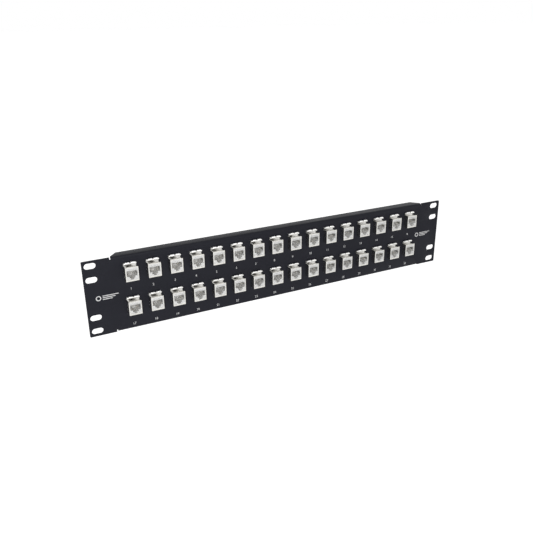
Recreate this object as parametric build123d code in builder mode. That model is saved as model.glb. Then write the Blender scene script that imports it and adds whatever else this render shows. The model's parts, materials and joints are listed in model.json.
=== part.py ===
from build123d import *
import os

# Rack patch panel, two units high, with 32 shielded eight-way feed-through jacks.
# Millimetres. +X is right as seen from the front, +Y goes back into the rack and +Z is up.
# The origin is the centre of the mounting plane: the rear face of the panel's ears.

# --- rack panel -------------------------------------------------------------------------------
PANEL_WIDTH = 482.6
PANEL_HEIGHT = 88.1
PANEL_CORNER = 0.8
SHEET = 2.0
FRONT_Y = -SHEET                  # the panel's front face
SLOT_LENGTH = 12.7
SLOT_HEIGHT = 7.1
SLOT_SPACING_X = 465.1
OUTER_SLOT_Z = 38.1
INNER_SLOT_Z = 22.225

# --- the two bent flanges ---------------------------------------------------------------------
FLANGE_HALF_LENGTH = 210.0
FLANGE_REAR_Y = 11.5
BEND_RADIUS = 2.4                 # outside of the bend
BEND_START = PANEL_HEIGHT / 2 - BEND_RADIUS
RELIEF_WIDTH = 1.6                # notch at each end of a bend
RELIEF_RUN_OUT = 0.3              # how far the notch runs past the bend
END_CUT_X = 8.25                  # slanted corner of a flange, along X
END_CUT_Y = 9.7                   # and along Y

# --- jack positions ---------------------------------------------------------------------------
COLUMNS = 16
PITCH_X = 25.4
UPPER_ROW_Z = 23.75
LOWER_ROW_Z = -16.45
ROW_PITCH = UPPER_ROW_Z - LOWER_ROW_Z
ROW_MIDDLE_Z = (UPPER_ROW_Z + LOWER_ROW_Z) / 2

# --- jack housing, in the jack's own XZ, with world Y -----------------------------------------
JACK_WIDTH = 14.6
JACK_HEIGHT = 16.3
JACK_FRONT_Y = FRONT_Y - 7.6
JOINT_Y = 6.0                     # where the front and rear shells meet
HALF_LENGTH = JOINT_Y - JACK_FRONT_Y
TOP_Z = JACK_HEIGHT / 2
BOTTOM_Z = -JACK_HEIGHT / 2
SIDE_WALL = 0.85
FLOOR_WALL = 1.7
CAVITY_WIDTH = JACK_WIDTH - 2 * SIDE_WALL
CAVITY_HEIGHT = JACK_HEIGHT - SIDE_WALL - FLOOR_WALL
CAVITY_Z = (FLOOR_WALL - SIDE_WALL) / 2
GROOVE_DEPTH = 0.95               # the panel's edge sits in this groove
GROOVE_CLEARANCE = 0.1
SHELL_CORNER = 0.4
RIM_FILLET = 0.3

# --- window in the panel ----------------------------------------------------------------------
WINDOW_WIDTH = 14.7
WINDOW_TOP = TOP_Z + 3.1
WINDOW_BOTTOM = BOTTOM_Z + GROOVE_DEPTH
WINDOW_HEIGHT = WINDOW_TOP - WINDOW_BOTTOM
WINDOW_Z = (WINDOW_TOP + WINDOW_BOTTOM) / 2

# --- eight-way port ---------------------------------------------------------------------------
INSERT_RECESS = 0.3
BOARD_THICKNESS = 1.6
PORT_WIDTH = 11.65
PORT_TOP = 4.15
PORT_BOTTOM = -2.25
PORT_DEPTH = 12.9
STEP_WIDTH = 6.2                  # wide part of the plug's latch channel
STEP_BOTTOM = -4.45
CHANNEL_WIDTH = 3.3               # narrow part
CHANNEL_BOTTOM = -6.05
INDEX_GROOVE_Z = TOP_Z - 2.6       # shallow groove above the port
INDEX_GROOVE_HEIGHT = 0.9
INDEX_GROOVE_DEPTH = 0.4
WIRES = 8
WIRE_PITCH = 1.016
WIRE_WIDTH = 0.38
COMB_WIDTH = WIRES * WIRE_PITCH + 0.6
COMB_TOP = 5.65
COMB_FRONT = 3.0                  # behind the insert's face
WIRE_THICKNESS = 0.3
WIRE_TOP = 5.45
WIRE_TIP_Y = 1.4
WIRE_TIP_Z = 2.35
WIRE_NOSE = 0.25                  # from the comb's front to the wire's bend
LEAF_LENGTH = 7.0                 # shield springs on the port's side walls
LEAF_HEIGHT = 2.4
LEAF_RISE = 0.32
LEAF_RAMP = 2.2
LEAF_START = 1.2                  # behind the insert's face
LEAF_BOTTOM_Z = -0.6

# --- latch lever ------------------------------------------------------------------------------
PIVOT_Y = 13.5
PIVOT_Z = TOP_Z + 1.35
EYE_RADIUS = 0.95
EYE_WIDTH = 8.0
PIN_RADIUS = 0.5
PIN_CLEARANCE = 0.05
CHEEK_GAP = 0.3
CHEEK = 1.0
CHEEK_LENGTH = 3.2
CHEEK_ROUND = 1.6
CHEEK_ROOT = 0.2                  # how far a cheek is sunk into the shell
CATCH_FRONT_Y = 0.5               # the catch stands behind the panel
CATCH_LENGTH = 1.7
CATCH_HEIGHT = 0.6                # above the window's top edge
NECK_TOP = WINDOW_TOP - 0.35
NECK_BOTTOM = WINDOW_TOP - 1.25
ARM_BEND_Y = 2.0
TAB_REAR_Y = FRONT_Y - 0.9
TAB_THICKNESS = 1.2
TAB_BOTTOM = TOP_Z + 1.45
TAB_WIDTH = 14.3
TAB_HEIGHT = 1.6
TAB_CORNER = 0.75
TAB_FILLET = 0.4
LOBE_PITCH = 6.2                  # two thicker lobes on the tab, with a notch between them
LOBE_WIDTH = 5.2
LOBE_HEIGHT = 2.0
LOBE_TOP = TOP_Z + 4.15
LOBE_THICKNESS = 2.2
LOBE_CORNER = 0.95
LOBE_FILLET = 0.75

os.makedirs("parts", exist_ok=True)


def jack_places():
    """Centre of every jack in XZ: the upper row from left to right, then the lower row."""
    left = -PITCH_X * (COLUMNS - 1) / 2
    upper = [(left + column * PITCH_X, UPPER_ROW_Z) for column in range(COLUMNS)]
    lower = [(left + column * PITCH_X, LOWER_ROW_Z) for column in range(COLUMNS)]
    return upper + lower


def write(shape, name):
    """Label one node and write its file."""
    shape.label = name
    export_step(shape, f"parts/{name}.step")
    print(name, len(shape.solids()), "solids")


def write_group(piece, name):
    """Write one node that holds a copy of the piece at every jack."""
    copies = [solid.moved(Location((x, 0, z))) for x, z in jack_places() for solid in piece.solids()]
    write(Compound(copies), name)


# --- front panel: the flat of a bent sheet, with slots, windows and a relief notch at each bend's end ---
with BuildPart() as front_panel:
    with BuildSketch(Plane.XZ):
        RectangleRounded(PANEL_WIDTH, PANEL_HEIGHT, PANEL_CORNER)
        with GridLocations(0, PANEL_HEIGHT, 1, 2):
            Rectangle(2 * FLANGE_HALF_LENGTH, 2 * BEND_RADIUS, mode=Mode.SUBTRACT)
        with GridLocations(2 * FLANGE_HALF_LENGTH + RELIEF_WIDTH, PANEL_HEIGHT, 2, 2):
            Rectangle(RELIEF_WIDTH, 2 * (BEND_RADIUS + RELIEF_RUN_OUT), mode=Mode.SUBTRACT)
        with GridLocations(SLOT_SPACING_X, 2 * OUTER_SLOT_Z, 2, 2):
            SlotOverall(SLOT_LENGTH, SLOT_HEIGHT, mode=Mode.SUBTRACT)
        with GridLocations(SLOT_SPACING_X, 2 * INNER_SLOT_Z, 2, 2):
            SlotOverall(SLOT_LENGTH, SLOT_HEIGHT, mode=Mode.SUBTRACT)
        with Locations((0, ROW_MIDDLE_Z + WINDOW_Z)):
            with GridLocations(PITCH_X, ROW_PITCH, COLUMNS, 2):
                Rectangle(WINDOW_WIDTH, WINDOW_HEIGHT, mode=Mode.SUBTRACT)
    extrude(amount=SHEET)
write(front_panel.part, "front_panel")

# --- flanges: the same sheet, bent back along its top and bottom edges ------------------------
with BuildPart() as upper_flange:
    with BuildSketch(Plane.YZ.offset(-FLANGE_HALF_LENGTH)):
        with BuildLine():
            arc_end_y = BEND_RADIUS - SHEET
            top = PANEL_HEIGHT / 2
            under = top - SHEET
            Line((FRONT_Y, BEND_START), (0, BEND_START))
            RadiusArc((0, BEND_START), (arc_end_y, under), BEND_RADIUS - SHEET)
            Polyline((arc_end_y, under), (FLANGE_REAR_Y, under), (FLANGE_REAR_Y, top), (arc_end_y, top))
            RadiusArc((arc_end_y, top), (FRONT_Y, BEND_START), -BEND_RADIUS)
        make_face()
    extrude(amount=2 * FLANGE_HALF_LENGTH)
    with BuildSketch(Plane.XY.offset(BEND_START)):
        with BuildLine():
            corner = (FLANGE_HALF_LENGTH, FLANGE_REAR_Y)
            along_end = (FLANGE_HALF_LENGTH, FLANGE_REAR_Y - END_CUT_Y)
            along_edge = (FLANGE_HALF_LENGTH - END_CUT_X, FLANGE_REAR_Y)
            Polyline(corner, along_end, along_edge, close=True)
        make_face()
        mirror(about=Plane.YZ)
    extrude(amount=BEND_RADIUS, mode=Mode.SUBTRACT)
write(upper_flange.part, "upper_flange")
write(upper_flange.part.mirror(Plane.XY), "lower_flange")


# --- shells: two die-cast halves, end to end ---------------------------------------------------
def shell_half():
    """The front half: a square tube with a thicker floor and softened front edges."""
    with BuildPart() as half:
        with BuildSketch(Plane.XZ.offset(-JOINT_Y)):
            RectangleRounded(JACK_WIDTH, JACK_HEIGHT, SHELL_CORNER)
            with Locations((0, CAVITY_Z)):
                Rectangle(CAVITY_WIDTH, CAVITY_HEIGHT, mode=Mode.SUBTRACT)
        extrude(amount=HALF_LENGTH)
        rim = half.faces().sort_by(Axis.Y)[0].outer_wire().edges()
        fillet(rim, RIM_FILLET)
    return half.part


with BuildPart() as front_shell:
    add(shell_half())
    with BuildSketch(Plane.XZ.offset(-GROOVE_CLEARANCE)):
        with Locations((0, BOTTOM_Z)):
            Rectangle(JACK_WIDTH, 2 * GROOVE_DEPTH)
    extrude(amount=SHEET + 2 * GROOVE_CLEARANCE, mode=Mode.SUBTRACT)
write_group(front_shell.part, "front_shells")

with BuildPart() as rear_shell:
    add(mirror(shell_half(), about=Plane.XZ.offset(-JOINT_Y), mode=Mode.PRIVATE))
    cheek_x = EYE_WIDTH / 2 + CHEEK_GAP + CHEEK / 2
    cheek_foot = TOP_Z - CHEEK_ROOT
    for side in (-1, 1):
        with BuildSketch(Plane.YZ.offset(side * cheek_x)):
            with Locations((PIVOT_Y, (PIVOT_Z + cheek_foot) / 2)):
                Rectangle(CHEEK_LENGTH, PIVOT_Z - cheek_foot)
            with Locations((PIVOT_Y, PIVOT_Z)):
                Circle(CHEEK_ROUND)
                Circle(PIN_RADIUS, mode=Mode.SUBTRACT)
            with Locations((PIVOT_Y, cheek_foot - CHEEK_ROUND)):
                Rectangle(2 * CHEEK_ROUND, 2 * CHEEK_ROUND, mode=Mode.SUBTRACT)
        extrude(amount=CHEEK / 2, both=True)
write_group(rear_shell.part, "rear_shells")


# --- inserts: plastic blocks with a stepped port ----------------------------------------------
def insert_half():
    """The front insert, which fills the shell's cavity in front of the board."""
    face_y = JACK_FRONT_Y + INSERT_RECESS
    length = JOINT_Y - BOARD_THICKNESS / 2 - face_y
    with BuildPart() as block:
        with BuildSketch(Plane.XZ.offset(-face_y)):
            with Locations((0, CAVITY_Z)):
                Rectangle(CAVITY_WIDTH, CAVITY_HEIGHT)
        extrude(amount=-length)
        with BuildSketch(Plane.XZ.offset(-face_y)):
            with Locations((0, (PORT_TOP + PORT_BOTTOM) / 2)):
                Rectangle(PORT_WIDTH, PORT_TOP - PORT_BOTTOM)
            with Locations((0, (PORT_BOTTOM + STEP_BOTTOM) / 2)):
                Rectangle(STEP_WIDTH, PORT_BOTTOM - STEP_BOTTOM)
            with Locations((0, (STEP_BOTTOM + CHANNEL_BOTTOM) / 2)):
                Rectangle(CHANNEL_WIDTH, STEP_BOTTOM - CHANNEL_BOTTOM)
        extrude(amount=-PORT_DEPTH, mode=Mode.SUBTRACT)
        with BuildSketch(Plane.XZ.offset(-face_y - COMB_FRONT)):
            with Locations((0, (COMB_TOP + PORT_TOP) / 2)):
                Rectangle(COMB_WIDTH, COMB_TOP - PORT_TOP)
        extrude(amount=COMB_FRONT - length, mode=Mode.SUBTRACT)
        with BuildSketch(Plane.XZ.offset(-face_y)):
            with Locations((0, INDEX_GROOVE_Z)):
                Rectangle(COMB_WIDTH, INDEX_GROOVE_HEIGHT)
        extrude(amount=-INDEX_GROOVE_DEPTH, mode=Mode.SUBTRACT)
    return block.part


def wires_half():
    """Eight spring wires: each runs forward above the port, turns back and slopes down into it."""
    board_y = JOINT_Y - BOARD_THICKNESS / 2
    left = -WIRE_PITCH * (WIRES - 1) / 2
    nose_y = JACK_FRONT_Y + INSERT_RECESS + COMB_FRONT + WIRE_NOSE
    under = WIRE_TOP - WIRE_THICKNESS
    solids = []
    for number in range(WIRES):
        with BuildPart() as wire:
            with BuildSketch(Plane.YZ.offset(left + number * WIRE_PITCH)):
                with BuildLine():
                    outside = [(board_y, WIRE_TOP), (nose_y + WIRE_THICKNESS, WIRE_TOP), (nose_y, under)]
                    tip_end = (WIRE_TIP_Y + WIRE_THICKNESS / 2, WIRE_TIP_Z + WIRE_THICKNESS)
                    inside = [(nose_y + 3 * WIRE_THICKNESS, under), (board_y, under)]
                    Polyline(*outside, (WIRE_TIP_Y, WIRE_TIP_Z), tip_end, *inside, close=True)
                make_face()
            extrude(amount=WIRE_WIDTH / 2, both=True)
        solids.append(wire.part)
    return Compound(solids)


def shield_springs_half():
    """Two thin leaves, one on each side wall of the port, that touch a plug's shield."""
    leaves = []
    for side in (-1, 1):
        with BuildPart() as leaf:
            with BuildSketch(Plane.XY.offset(LEAF_BOTTOM_Z)):
                with BuildLine():
                    wall = PORT_WIDTH / 2 * side
                    crest = wall - LEAF_RISE * side
                    start = JACK_FRONT_Y + INSERT_RECESS + LEAF_START
                    end = start + LEAF_LENGTH
                    raised = [(crest, start + LEAF_RAMP), (crest, end - LEAF_RAMP)]
                    Polyline((wall, start), *raised, (wall, end), close=True)
                make_face()
            extrude(amount=LEAF_HEIGHT)
        leaves.append(leaf.part)
    return Compound(leaves)


def back_to_back(shape):
    """The rear piece is the front piece reflected in the plane where the shells meet."""
    return shape.mirror(Plane.XZ.offset(-JOINT_Y))


write_group(insert_half(), "front_inserts")
write_group(back_to_back(insert_half()), "rear_inserts")
write_group(wires_half(), "front_contacts")
write_group(back_to_back(wires_half()), "rear_contacts")
write_group(shield_springs_half(), "front_shield_springs")
write_group(back_to_back(shield_springs_half()), "rear_shield_springs")

# --- circuit board that joins the two ports ---------------------------------------------------
with BuildPart() as board:
    with BuildSketch(Plane.XZ.offset(-JOINT_Y)):
        with Locations((0, CAVITY_Z)):
            Rectangle(CAVITY_WIDTH, CAVITY_HEIGHT)
    extrude(amount=BOARD_THICKNESS / 2, both=True)
write_group(board.part, "circuit_boards")

# --- pins that the latch levers turn on -------------------------------------------------------
with BuildPart() as latch_pin:
    with BuildSketch(Plane.YZ):
        with Locations((PIVOT_Y, PIVOT_Z)):
            Circle(PIN_RADIUS)
    extrude(amount=EYE_WIDTH / 2 + CHEEK_GAP + CHEEK, both=True)
write_group(latch_pin.part, "latch_pins")

# --- latch lever: eye at the back, catch behind the panel, two-lobed finger tab in front ------
with BuildPart() as lever:
    with BuildSketch(Plane.YZ):
        with BuildLine():
            catch_top = WINDOW_TOP + CATCH_HEIGHT
            tab_middle_y = TAB_REAR_Y - TAB_THICKNESS / 2
            upper_side = [(PIVOT_Y, PIVOT_Z + EYE_RADIUS), (CATCH_FRONT_Y + CATCH_LENGTH, catch_top)]
            catch = [(CATCH_FRONT_Y, catch_top), (CATCH_FRONT_Y, NECK_TOP)]
            neck = [(tab_middle_y, NECK_TOP), (tab_middle_y, NECK_BOTTOM)]
            lower_side = [(ARM_BEND_Y, NECK_BOTTOM), (PIVOT_Y - EYE_RADIUS, PIVOT_Z), (PIVOT_Y, PIVOT_Z)]
            Polyline(*upper_side, *catch, *neck, *lower_side, close=True)
        make_face()
    extrude(amount=EYE_WIDTH / 2, both=True)
    with BuildSketch(Plane.YZ):
        with Locations((PIVOT_Y, PIVOT_Z)):
            Circle(EYE_RADIUS)
    extrude(amount=EYE_WIDTH / 2, both=True)
    with BuildSketch(Plane.YZ):
        with Locations((PIVOT_Y, PIVOT_Z)):
            Circle(PIN_RADIUS + PIN_CLEARANCE)
    extrude(amount=EYE_WIDTH / 2, both=True, mode=Mode.SUBTRACT)
    with BuildSketch(Plane.XZ.offset(-TAB_REAR_Y)):
        with Locations((0, TAB_BOTTOM + TAB_HEIGHT / 2)):
            RectangleRounded(TAB_WIDTH, TAB_HEIGHT, TAB_CORNER)
    extrude(amount=TAB_THICKNESS)
    tab_front = lever.faces().sort_by(Axis.Y)[0]
    fillet(tab_front.outer_wire().edges(), TAB_FILLET)
    with BuildSketch(Plane.XZ.offset(-TAB_REAR_Y)):
        with Locations((0, LOBE_TOP - LOBE_HEIGHT / 2)):
            with GridLocations(LOBE_PITCH, 0, 2, 1):
                RectangleRounded(LOBE_WIDTH, LOBE_HEIGHT, LOBE_CORNER)
    extrude(amount=LOBE_THICKNESS)
    lobe_fronts = lever.faces().sort_by(Axis.Y)[:2]
    fillet([edge for front in lobe_fronts for edge in front.outer_wire().edges()], LOBE_FILLET)

for number, (x, z) in enumerate(jack_places(), start=1):
    write(lever.part.moved(Location((x, 0, z))), f"latch_{number:02d}")
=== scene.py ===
# %% [markdown]
# # A rack patch panel with two rows of modular jacks
# The panel is a sheet of black steel, two rack units high. Thirty-two shielded jacks clip into it, and each
# is held by a small spring lever that stands above it. The frame holds the shapes and the joints. This
# script gives them their surfaces, softens their edges, adds the printing and sets up the studio.

# %% Load the frame
import json
import math

import bmesh
import bpy
from mathutils import Matrix, Quaternion, Vector


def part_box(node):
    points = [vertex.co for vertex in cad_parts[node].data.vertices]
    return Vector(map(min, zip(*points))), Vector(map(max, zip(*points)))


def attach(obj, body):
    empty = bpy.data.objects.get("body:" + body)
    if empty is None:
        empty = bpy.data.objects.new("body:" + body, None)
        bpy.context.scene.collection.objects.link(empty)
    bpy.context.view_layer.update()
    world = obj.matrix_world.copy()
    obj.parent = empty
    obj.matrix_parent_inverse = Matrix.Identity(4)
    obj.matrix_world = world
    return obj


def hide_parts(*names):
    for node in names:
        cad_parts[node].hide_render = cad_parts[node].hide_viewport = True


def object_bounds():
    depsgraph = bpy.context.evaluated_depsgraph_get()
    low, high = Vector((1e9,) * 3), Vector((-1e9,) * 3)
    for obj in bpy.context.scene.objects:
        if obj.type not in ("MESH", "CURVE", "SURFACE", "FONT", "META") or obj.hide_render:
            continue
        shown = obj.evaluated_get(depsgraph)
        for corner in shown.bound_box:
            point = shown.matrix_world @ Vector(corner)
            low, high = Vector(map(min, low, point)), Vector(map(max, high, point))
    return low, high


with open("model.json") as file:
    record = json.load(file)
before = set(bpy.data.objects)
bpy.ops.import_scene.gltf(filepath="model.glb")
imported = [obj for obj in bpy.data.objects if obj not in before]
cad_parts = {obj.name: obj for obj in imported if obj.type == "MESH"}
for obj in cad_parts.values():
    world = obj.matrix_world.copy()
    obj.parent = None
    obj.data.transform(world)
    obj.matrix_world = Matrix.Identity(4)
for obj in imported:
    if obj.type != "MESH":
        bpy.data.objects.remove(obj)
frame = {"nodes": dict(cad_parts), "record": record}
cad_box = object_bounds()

ROOT = "rack_panel"
MM = 0.001
PER_ROW = 16
JACKS = 2 * PER_ROW
nodes = frame["nodes"]

# %% [markdown]
# ## Camera
# The camera stands to the front left and above, and looks along the panel. A direction is easier to read
# than three rotation angles, so the camera is turned to look along a direction, then rolled a little about
# it.

# %% Camera
EYE = Vector((-0.3407, -0.6252, 0.2774))
TURN = math.radians(26.91)          # from +Y towards +X
LOOK_DOWN = math.radians(21.82)
ROLL = math.radians(-0.72)
LENS = 41.85                        # for the camera's 36 mm wide sensor
NEAREST = 0.01                      # nothing closer than this is seen
SHIFT_ACROSS = -0.15 / 533          # small shifts of the image, as shares of its width
SHIFT_UP = 0.4 / 533

level = math.cos(LOOK_DOWN)
look = Vector((math.sin(TURN) * level, math.cos(TURN) * level, -math.sin(LOOK_DOWN)))
camera_data = bpy.data.cameras.new("camera")
camera_data.lens = LENS
camera_data.shift_x = SHIFT_ACROSS
camera_data.shift_y = SHIFT_UP
camera_data.clip_start = NEAREST
camera = bpy.data.objects.new("camera", camera_data)
camera.rotation_mode = "QUATERNION"
camera.rotation_quaternion = look.to_track_quat("-Z", "Y") @ Quaternion((0, 0, 1), ROLL)
camera.location = EYE
bpy.context.scene.collection.objects.link(camera)
bpy.context.scene.camera = camera
print("camera looks along", tuple(round(c, 3) for c in look))

# %% [markdown]
# ## Studio
# The backdrop is plain and pale. The sky and the floor are white to the camera and in reflections, which is
# what makes plated metal look plated. They give much less light to matt surfaces, because pale plastic
# under a full white sky burns out. The Light Path node tells the two kinds of ray apart.

# %% Sky and floor
SKY_SEEN = 1.0
SKY_LIGHT = 0.15
FLOOR_DROP = 100 * MM
FLOOR_SIZE = 60.0

world = bpy.data.worlds.new("studio")
world.use_nodes = True
bpy.context.scene.world = world
sky = world.node_tree
sky.nodes.clear()
sky_out = sky.nodes.new("ShaderNodeOutputWorld")
sky_mix = sky.nodes.new("ShaderNodeMixShader")
sky_path = sky.nodes.new("ShaderNodeLightPath")
for socket, strength in ((1, SKY_SEEN), (2, SKY_LIGHT)):
    background = sky.nodes.new("ShaderNodeBackground")
    background.inputs["Color"].default_value = (1, 1, 1, 1)
    background.inputs["Strength"].default_value = strength
    sky.links.new(background.outputs[0], sky_mix.inputs[socket])
sky.links.new(sky_path.outputs["Is Diffuse Ray"], sky_mix.inputs[0])
sky.links.new(sky_mix.outputs[0], sky_out.inputs["Surface"])

low, high = cad_box
floor_mesh = bpy.data.meshes.new("floor")
form = bmesh.new()
bmesh.ops.create_grid(form, x_segments=1, y_segments=1, size=FLOOR_SIZE / 2)
bmesh.ops.translate(form, vec=(0, 0, low[2] - FLOOR_DROP), verts=form.verts)
form.to_mesh(floor_mesh)
form.free()
floor = bpy.data.objects.new("floor", floor_mesh)
bpy.context.scene.collection.objects.link(floor)
bpy.context.scene.view_settings.view_transform = "Standard"
print("floor", round(FLOOR_DROP / MM), "mm below the panel")

# %% [markdown]
# Area lights are soft, as a window or a lamp behind a cloth is. The main one stands behind the camera, so
# that it reaches into the ports that the camera sees into. A wide one in front and one overhead fill in the
# rest.


# %% Lights
MAIN_LIGHT = EYE * 1.9              # on the line from the panel's middle through the camera


def area_light(name, place, size, power):
    """A square soft light that points at the middle of the panel."""
    data = bpy.data.lights.new(name, "AREA")
    data.shape = "SQUARE"
    data.size = size
    data.energy = power
    light = bpy.data.objects.new(name, data)
    light.location = place
    light.rotation_mode = "QUATERNION"
    light.rotation_quaternion = (-place).to_track_quat("-Z", "Y")
    bpy.context.scene.collection.objects.link(light)


area_light("behind the camera", MAIN_LIGHT, size=0.5, power=9)
area_light("front", Vector((0.5, -1.8, 0.35)), size=1.4, power=2)
area_light("top", Vector((0.1, 0.1, 1.7)), size=1.0, power=3)

# %% [markdown]
# ## Shared shader effects
# Three effects turn up in more than one finish, so each is a node group that is built once: a fine grain,
# wear on the edges, and dust on what faces up. Groups put out masks and heights, and each material decides
# what to do with them. All of them read Object coordinates, which are metres from the middle of the panel's
# back.


# %% Helpers for node trees
def add_node(tree, kind, **settings):
    """A node with some of its settings or its sockets' constant values set."""
    new = tree.nodes.new(kind)
    for name, value in settings.items():
        if hasattr(new, name):
            setattr(new, name, value)
        else:
            new.inputs[name.replace("_", " ")].default_value = value
    return new


def new_group(name, inputs, outputs):
    """An empty shader group with named number inputs and outputs."""
    tree = bpy.data.node_groups.new(name, "ShaderNodeTree")
    for label, value in inputs:
        socket = tree.interface.new_socket(label, in_out="INPUT", socket_type="NodeSocketFloat")
        socket.default_value = value
    for label in outputs:
        tree.interface.new_socket(label, in_out="OUTPUT", socket_type="NodeSocketFloat")
    return tree, tree.nodes.new("NodeGroupInput"), tree.nodes.new("NodeGroupOutput")


def use_group(tree, group, **values):
    """Place a group in a material and give its inputs their values."""
    placed = tree.nodes.new("ShaderNodeGroup")
    placed.node_tree = group
    for name, value in values.items():
        placed.inputs[name].default_value = value
    return placed


def ramp(tree, source, start, end):
    """A mask that rises from 0 to 1 while the source goes from start to end."""
    mapped = add_node(tree, "ShaderNodeMapRange")
    mapped.inputs["From Min"].default_value = start
    mapped.inputs["From Max"].default_value = end
    tree.links.new(source, mapped.inputs["Value"])
    return mapped.outputs["Result"]


def times(tree, first, second):
    """The product of two masks, or of a mask and a number."""
    product = add_node(tree, "ShaderNodeMath", operation="MULTIPLY")
    for index, value in enumerate((first, second)):
        if isinstance(value, (int, float)):
            product.inputs[index].default_value = value
        else:
            tree.links.new(value, product.inputs[index])
    return product.outputs[0]


# %% Group: grain
grain, grain_in, grain_out = new_group("grain", [("Scale", 1000.0), ("Patches", 30.0)], ["Fine", "Patchy"])
grain_place = add_node(grain, "ShaderNodeTexCoord")
for scale_name, out_name, detail in (("Scale", "Fine", 3.0), ("Patches", "Patchy", 5.0)):
    noise = add_node(grain, "ShaderNodeTexNoise", Detail=detail, Roughness=0.6)
    grain.links.new(grain_place.outputs["Object"], noise.inputs["Vector"])
    grain.links.new(grain_in.outputs[scale_name], noise.inputs["Scale"])
    grain.links.new(noise.outputs["Fac"], grain_out.inputs[out_name])
print("group", grain.name)

# %% [markdown]
# Paint and plating thin out where an edge is handled. Cycles' Bevel node gives the normal that a rounded
# edge would have. Where that differs from the surface's own normal, there is an edge, and noise breaks the
# mask into chips.

# %% Group: edge wear
EDGE_REACH = 0.35 * MM             # how far from an edge the wear reaches
EDGE_RANGE = (0.985, 0.80)         # how well the two normals agree, from no wear to full wear
CHIP_RANGE = (0.42, 0.62)
wear, wear_in, wear_out = new_group("edge wear", [("Amount", 1.0), ("Break Up", 400.0)], ["Mask"])
rounded = add_node(wear, "ShaderNodeBevel", samples=4)
rounded.inputs["Radius"].default_value = EDGE_REACH
flat = add_node(wear, "ShaderNodeNewGeometry")
agree = add_node(wear, "ShaderNodeVectorMath", operation="DOT_PRODUCT")
wear.links.new(rounded.outputs["Normal"], agree.inputs[0])
wear.links.new(flat.outputs["Normal"], agree.inputs[1])
edge_mask = ramp(wear, agree.outputs["Value"], *EDGE_RANGE)
wear_place = add_node(wear, "ShaderNodeTexCoord")
chips = add_node(wear, "ShaderNodeTexNoise", Detail=4.0)
wear.links.new(wear_place.outputs["Object"], chips.inputs["Vector"])
wear.links.new(wear_in.outputs["Break Up"], chips.inputs["Scale"])
chip_mask = ramp(wear, chips.outputs["Fac"], *CHIP_RANGE)
worn_mask = times(wear, times(wear, edge_mask, chip_mask), wear_in.outputs["Amount"])
wear.links.new(worn_mask, wear_out.inputs["Mask"])
print("group", wear.name)

# %% [markdown]
# Dust settles on what faces up, in specks. The Z part of the normal says how far a face looks up, so no
# dust lies on the front of the panel.

# %% Group: dust
UP_RANGE = (0.5, 1.0)              # the normal's Z, from no dust to the most
SPECK_RANGE = (0.40, 0.75)
dust, dust_in, dust_out = new_group("dust", [("Amount", 1.0)], ["Mask"])
facing = add_node(dust, "ShaderNodeNewGeometry")
split = add_node(dust, "ShaderNodeSeparateXYZ")
dust.links.new(facing.outputs["Normal"], split.inputs[0])
upward = ramp(dust, split.outputs["Z"], *UP_RANGE)
dust_place = add_node(dust, "ShaderNodeTexCoord")
specks = add_node(dust, "ShaderNodeTexNoise", Scale=160.0, Detail=8.0)
dust.links.new(dust_place.outputs["Object"], specks.inputs["Vector"])
speck_mask = ramp(dust, specks.outputs["Fac"], *SPECK_RANGE)
dusty_mask = times(dust, times(dust, upward, speck_mask), dust_in.outputs["Amount"])
dust.links.new(dusty_mask, dust_out.inputs["Mask"])
print("group", dust.name)

# %% [markdown]
# ## Finishes
# A finish is one function call here, because all of them are built alike: two close colours mixed by a
# patchy mask, a third colour where the edges are worn, a fourth where dust lies, a roughness that varies,
# and a fine bump. What differs is the numbers, and those are the maker's choices: powder coat is dark and
# slightly rough, nickel is smooth and metallic, and moulded nylon is pale with a soft sheen.


# %% One recipe for every finish
DUST_COLOUR = (0.35, 0.34, 0.32)
PATCH_RANGE = (0.35, 0.65)         # the noise, from the first colour to the second
ROUGH_RANGE = (0.3, 0.7)           # and from the lower roughness to the higher


def mixed(tree, mask, first, second):
    """A colour between two colours or sockets, by a mask."""
    mix = add_node(tree, "ShaderNodeMix", data_type="RGBA")
    tree.links.new(mask, mix.inputs[0])
    for index, value in ((6, first), (7, second)):
        if isinstance(value, tuple):
            mix.inputs[index].default_value = (*value, 1.0)
        else:
            tree.links.new(value, mix.inputs[index])
    return mix.outputs[2]


def finish(name, colour, second, metal=0.0, rough=(0.4, 0.5), grain_scale=900.0, patches=40.0, bump=0.1,
           bump_height=0.02, worn=None, wear_amount=0.0, dusty=0.0, specular=0.5):
    """A material with patchy colour, varied roughness, fine bump, worn edges and dust."""
    material = bpy.data.materials.new(name)
    material.use_nodes = True
    tree = material.node_tree
    shader = tree.nodes["Principled BSDF"]
    shader.inputs["Metallic"].default_value = metal
    shader.inputs["Specular IOR Level"].default_value = specular
    texture = use_group(tree, grain, Scale=grain_scale, Patches=patches)
    patchy = ramp(tree, texture.outputs["Patchy"], *PATCH_RANGE)
    surface = mixed(tree, patchy, colour, second)
    if worn:
        edge = use_group(tree, wear, Amount=wear_amount)
        surface = mixed(tree, edge.outputs["Mask"], surface, worn)
    if dusty:
        layer = use_group(tree, dust, Amount=dusty)
        surface = mixed(tree, layer.outputs["Mask"], surface, DUST_COLOUR)
    tree.links.new(surface, shader.inputs["Base Color"])
    varied = add_node(tree, "ShaderNodeMapRange")
    varied.inputs["From Min"].default_value = ROUGH_RANGE[0]
    varied.inputs["From Max"].default_value = ROUGH_RANGE[1]
    varied.inputs["To Min"].default_value = rough[0]
    varied.inputs["To Max"].default_value = rough[1]
    tree.links.new(texture.outputs["Patchy"], varied.inputs["Value"])
    tree.links.new(varied.outputs["Result"], shader.inputs["Roughness"])
    relief = add_node(tree, "ShaderNodeBump", Strength=bump, Distance=bump_height * MM)
    tree.links.new(texture.outputs["Fine"], relief.inputs["Height"])
    tree.links.new(relief.outputs["Normal"], shader.inputs["Normal"])
    return material


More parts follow.
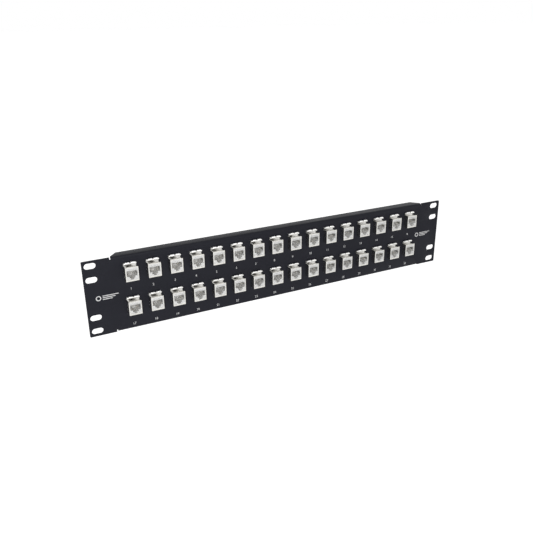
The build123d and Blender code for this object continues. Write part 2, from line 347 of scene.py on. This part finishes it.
# %% The finishes of this panel
powder_coat = finish("black_powder_coat", (0.0150, 0.0156, 0.0215), (0.0175, 0.0182, 0.0245),
                     rough=(0.44, 0.54), grain_scale=2600.0, patches=25.0, bump=0.5, bump_height=0.03,
                     worn=(0.020, 0.021, 0.026), wear_amount=0.25, dusty=0.02, specular=0.10)
nickel = finish("nickel_plate", (0.64, 0.63, 0.60), (0.57, 0.56, 0.53), metal=1.0, rough=(0.16, 0.28),
                grain_scale=1500.0, patches=180.0, bump=0.15, bump_height=0.01, worn=(0.85, 0.84, 0.82),
                wear_amount=0.7, dusty=0.04)
# The levers' nickel is painted much paler than the shells' nickel above, as a painted highlight on the lobes. It
# is rougher, not polished.
highlight_painted_nickel = finish("highlight_painted_nickel", (0.95, 0.945, 0.93), (0.90, 0.895, 0.88), metal=1.0,
                         rough=(0.28, 0.40), grain_scale=1800.0, patches=200.0, bump=0.1, bump_height=0.01,
                         worn=(0.95, 0.94, 0.93), wear_amount=0.5, dusty=0.02)
nylon = finish("pale_nylon", (0.77, 0.77, 0.76), (0.72, 0.72, 0.71), rough=(0.35, 0.48), grain_scale=3200.0,
               patches=120.0, bump=0.2, bump_height=0.01, dusty=0.05)
gold_wire = finish("gold_wire", (0.82, 0.66, 0.38), (0.76, 0.60, 0.33), metal=1.0, rough=(0.18, 0.28),
                   grain_scale=4000.0, patches=300.0, bump=0.1, bump_height=0.005)
spring_steel = finish("spring_steel", (0.60, 0.60, 0.58), (0.52, 0.52, 0.51), metal=1.0, rough=(0.25, 0.36),
                      grain_scale=2500.0, patches=250.0, bump=0.1, bump_height=0.005)
solder_mask = finish("green_solder_mask", (0.02, 0.14, 0.05), (0.015, 0.11, 0.04), rough=(0.30, 0.40),
                     grain_scale=2200.0, patches=90.0, bump=0.1, bump_height=0.01)
white_ink = finish("white_ink", (0.80, 0.80, 0.80), (0.70, 0.70, 0.71), rough=(0.45, 0.55), grain_scale=5000.0,
                   patches=900.0, bump=0.2, bump_height=0.01)
floor_paint = finish("studio_floor", (0.92, 0.92, 0.92), (0.90, 0.90, 0.90), rough=(0.6, 0.7),
                     grain_scale=200.0, patches=3.0, bump=0.05, bump_height=0.05, specular=0.2)
print("finishes", len(bpy.data.materials))

# %% [markdown]
# The floor has to look about as white as the sky, or a grey band shows where the two meet. So it glows a
# little by itself and, like the sky, it glows less towards matt surfaces.

# %% The floor's own glow
GLOW_SEEN = (1.0, 1.0, 1.0)
GLOW_LIGHT = (0.22, 0.22, 0.22)
GLOW_STRENGTH = 0.85
floor_tree = floor_paint.node_tree
floor_shader = floor_tree.nodes["Principled BSDF"]
floor_path = floor_tree.nodes.new("ShaderNodeLightPath")
floor_glow = mixed(floor_tree, floor_path.outputs["Is Diffuse Ray"], GLOW_SEEN, GLOW_LIGHT)
floor_tree.links.new(floor_glow, floor_shader.inputs["Emission Color"])
floor_shader.inputs["Emission Strength"].default_value = GLOW_STRENGTH
floor.data.materials.append(floor_paint)
print("floor glow", GLOW_STRENGTH)

# %% [markdown]
# ## Metal and plastic parts with softened edges
# No real casting or moulding has a knife edge, and the thin highlight on a rounded edge is what makes it
# look made. Each CAD node could be modelled again by hand, but its shape is already right. So a copy of its
# mesh is merged, its flat faces are joined up again, and its sharp edges get a small round with bmesh's
# bevel.

# %% Copies of nodes, merged
SHARP = math.radians(35)
FLAT = math.radians(1)
TOUCHING = 0.002 * MM


def merged_form(names):
    """One bmesh that holds copies of CAD nodes, with the corners that touch merged."""
    form = bmesh.new()
    for name in names:
        form.from_mesh(nodes[name].data)
    bmesh.ops.remove_doubles(form, verts=form.verts, dist=TOUCHING)
    return form


# %% Softening a merged copy
ROUND_STEPS = 2


def softened(form, names, piece_name, width, material):
    """Round a form's sharp edges and make it the piece that stands for its nodes."""
    bmesh.ops.dissolve_limit(form, angle_limit=FLAT, verts=form.verts, edges=form.edges)
    sharp = [edge for edge in form.edges if len(edge.link_faces) == 2 and edge.calc_face_angle() > SHARP]
    bmesh.ops.bevel(form, geom=sharp, offset=width, offset_type="OFFSET", segments=ROUND_STEPS, profile=0.5,
                    affect="EDGES", clamp_overlap=True, material=-1)
    bmesh.ops.triangulate(form, faces=[face for face in form.faces if len(face.verts) > 4])
    mesh = bpy.data.meshes.new(piece_name)
    form.to_mesh(mesh)
    form.free()
    mesh.materials.append(material)
    piece = bpy.data.objects.new(piece_name, mesh)
    bpy.context.scene.collection.objects.link(piece)
    mesh.shade_smooth()
    mesh.set_sharp_from_angle(angle=SHARP)
    bodies = frame["record"]["behaviour"]["bodies"]
    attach(piece, next(body for body, members in bodies.items() if names[0] in members))
    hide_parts(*names)
    print(piece_name, len(mesh.polygons), "faces")


# %% [markdown]
# The panel is one sheet that was punched flat and then bent along its top and bottom edges. The frame holds
# the flat and the two flanges as nodes of their own, so here they are joined again. After the merge, the
# only thing left of each joint is a face inside the metal, and without that face the sheet is one closed
# skin.

# %% The bent sheet
sheet_nodes = ("front_panel", "upper_flange", "lower_flange")
sheet = merged_form(sheet_nodes)
seams = (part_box("upper_flange")[0].z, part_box("lower_flange")[1].z)
inside = [face for face in sheet.faces
          if any(all(abs(vert.co.z - seam) < TOUCHING for vert in face.verts) for seam in seams)]
bmesh.ops.delete(sheet, geom=inside, context="FACES_ONLY")
open_edges = sum(1 for edge in sheet.edges if len(edge.link_faces) != 2)
print("faces inside the joints", len(inside), "open edges", open_edges)
SHEET_ROUND = 0.10 * MM
softened(sheet, sheet_nodes, "coated_sheet", SHEET_ROUND, powder_coat)

# %% [markdown]
# The shells and the levers are zinc castings. A casting's edges are as round as its mould. The lever, which a
# finger presses, is nickel like the shells, but its colour is painted much paler than theirs. That is a painted
# highlight for the bright tops of its lobes. Each lever is a piece of its own, because each one moves.

# %% Castings and levers
CASTINGS = {"front_shells": ("front_shell_castings", 0.12 * MM),
            "rear_shells": ("rear_shell_castings", 0.20 * MM)}
LEVER_ROUND = 0.12 * MM
for node, (name, width) in CASTINGS.items():
    softened(merged_form([node]), [node], name, width, nickel)
for number in range(1, JACKS + 1):
    node = f"latch_{number:02d}"
    softened(merged_form([node]), [node], f"lever_{number:02d}", LEVER_ROUND, highlight_painted_nickel)

# %% [markdown]
# ## Parts that keep their own mesh
# The inserts, wires, shield leaves, boards and pins already have their final shapes, so they only get a
# finish.


# %% Finishes on CAD nodes
def dress(node, material):
    """Put one material in every slot of a CAD node."""
    mesh = nodes[node].data
    if not mesh.materials:
        mesh.materials.append(material)
    for index in range(len(mesh.materials)):
        mesh.materials[index] = material


DRESSED = {"front_inserts": nylon, "rear_inserts": nylon, "front_contacts": gold_wire,
           "rear_contacts": gold_wire, "front_shield_springs": spring_steel, "rear_shield_springs": spring_steel,
           "circuit_boards": solder_mask, "latch_pins": spring_steel}
for node, material in DRESSED.items():
    dress(node, material)
print("dressed", len(DRESSED), "nodes")

# %% [markdown]
# ## Printing
# The numbers are screen printed under the jacks. Letters can be made as text objects, which hold the
# outlines of a font. Each is turned into a mesh first and moved into place afterwards, so that the piece's
# own object stays at the origin. The ink is a very thin slab that stands just proud of the coat.

# %% Ink
FRONT_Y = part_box("front_panel")[0].y
INK = 0.03 * MM                    # how far the ink stands proud of the coat


def print_piece(name, mesh, place):
    """A printed mesh becomes a piece that rides on the panel."""
    mesh.transform(Matrix.Translation(place))
    mesh.materials.clear()
    mesh.materials.append(white_ink)
    piece = bpy.data.objects.new(name, mesh)
    bpy.context.scene.collection.objects.link(piece)
    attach(piece, ROOT)
    return piece


# %% Numbers
NUMBER_HEIGHT = 2.7 * MM
DIGIT_SHARE = 0.69                 # a digit's height as a share of the font's size
UPPER_DROP = 31.65 * MM            # from a lever's top to the middle of its number
LOWER_DROP = 34.05 * MM
PRINT_SHIFT = -0.9 * MM            # the screen sits a little to the left of the jacks


def number_mesh(number):
    """A number's outline as a thin mesh that faces the front, with its baseline's middle at the origin."""
    curve = bpy.data.curves.new(f"number_{number}", "FONT")
    curve.body = str(number)
    curve.align_x = "CENTER"
    curve.size = NUMBER_HEIGHT / DIGIT_SHARE
    curve.extrude = INK
    maker = bpy.data.objects.new(f"text_{number}", curve)
    bpy.context.scene.collection.objects.link(maker)
    bpy.context.view_layer.update()
    mesh = bpy.data.meshes.new_from_object(maker)
    bpy.data.objects.remove(maker)
    mesh.transform(Matrix.Rotation(math.pi / 2, 4, "X"))
    return mesh


for number in range(1, JACKS + 1):
    lever_low, lever_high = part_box(f"latch_{number:02d}")
    drop = UPPER_DROP if number <= PER_ROW else LOWER_DROP
    middle = (lever_low.x + lever_high.x) / 2
    place = Vector((middle + PRINT_SHIFT, FRONT_Y, lever_high.z - drop - NUMBER_HEIGHT / 2))
    print_piece(f"number_{number:02d}", number_mesh(number), place)
print("numbers", JACKS, "each", round(NUMBER_HEIGHT / MM, 1), "mm tall")

# %% [markdown]
# The panel carries a printed mark at each end. This one is plain on purpose: a ring, for a port, and three
# stripes, for the lines that leave it. The ring is two circles with a bridge between them, and each stripe
# is a flat block with rounded corners.

# %% Mark
RING_OUTER = 2.9 * MM
RING_INNER = 1.9 * MM
RING_SIDES = 48
STRIPES = ((17.5 * MM, 2.0 * MM), (14.0 * MM, 0.0), (10.5 * MM, -2.0 * MM))
STRIPE_HEIGHT = 0.9 * MM
STRIPE_START = 4.5 * MM
STRIPE_ROUND = 0.3 * STRIPE_HEIGHT
LEFT_INSET = 13.6 * MM             # from the left end of the panel to the ring's middle
RIGHT_INSET = 35.0 * MM            # and from the right end
RIGHT_RISE = 0.6 * MM


def mark_mesh(name):
    """The ring and the stripes, lying in XY and then turned to face the front."""
    form = bmesh.new()
    for radius in (RING_OUTER, RING_INNER):
        bmesh.ops.create_circle(form, segments=RING_SIDES, radius=radius)
    ring = bmesh.ops.bridge_loops(form, edges=form.edges[:])
    raised = bmesh.ops.extrude_face_region(form, geom=ring["faces"])
    lifted = [part for part in raised["geom"] if isinstance(part, bmesh.types.BMVert)]
    bmesh.ops.translate(form, vec=(0, 0, INK), verts=lifted)
    for length, height in STRIPES:
        block = bmesh.ops.create_cube(form, size=1.0)["verts"]
        bmesh.ops.scale(form, vec=(length, STRIPE_HEIGHT, INK), verts=block)
        bmesh.ops.translate(form, vec=(STRIPE_START + length / 2, height, INK / 2), verts=block)
        corners = {edge for vert in block for edge in vert.link_edges
                   if abs(edge.verts[0].co.z - edge.verts[1].co.z) > INK / 2}
        bmesh.ops.bevel(form, geom=list(corners), offset=STRIPE_ROUND, segments=3, profile=0.5,
                        affect="EDGES", material=-1)
    bmesh.ops.recalc_face_normals(form, faces=form.faces)
    mesh = bpy.data.meshes.new(name)
    form.to_mesh(mesh)
    form.free()
    mesh.transform(Matrix.Rotation(math.pi / 2, 4, "X"))
    return mesh


print_piece("mark_left", mark_mesh("mark_left"), Vector((low[0] + LEFT_INSET, FRONT_Y, 0)))
print_piece("mark_right", mark_mesh("mark_right"), Vector((high[0] - RIGHT_INSET, FRONT_Y, RIGHT_RISE)))
print("marks", 2)
